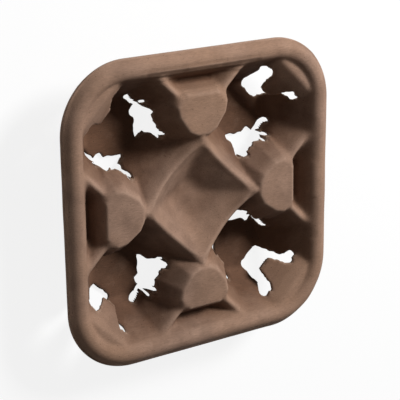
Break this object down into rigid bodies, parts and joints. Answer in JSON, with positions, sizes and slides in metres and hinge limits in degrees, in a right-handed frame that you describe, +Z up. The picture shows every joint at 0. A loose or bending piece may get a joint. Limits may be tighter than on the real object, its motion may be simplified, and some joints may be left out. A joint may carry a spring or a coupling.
{
  "type": "cup carrier",
  "caption": "Square moulded-pulp tray with cup pockets whose slit flaps grip a cup, flat raised pads between the pockets, and a square ridge round a central well.",
  "frame": {"origin": "middle of the tray, in the plane of the undersides of the pocket floors", "axes": "+Z up, out of the pockets; X and Y along the sides of the square rim"},
  "size_m": [0.215, 0.215, 0.043],
  "materials": {
    "pulp": "matte, slightly fibrous moulded pulp"
  },
  "bodies": {
    "root": {"cup_carrier": "pulp"}
  },
  "joints": []
}
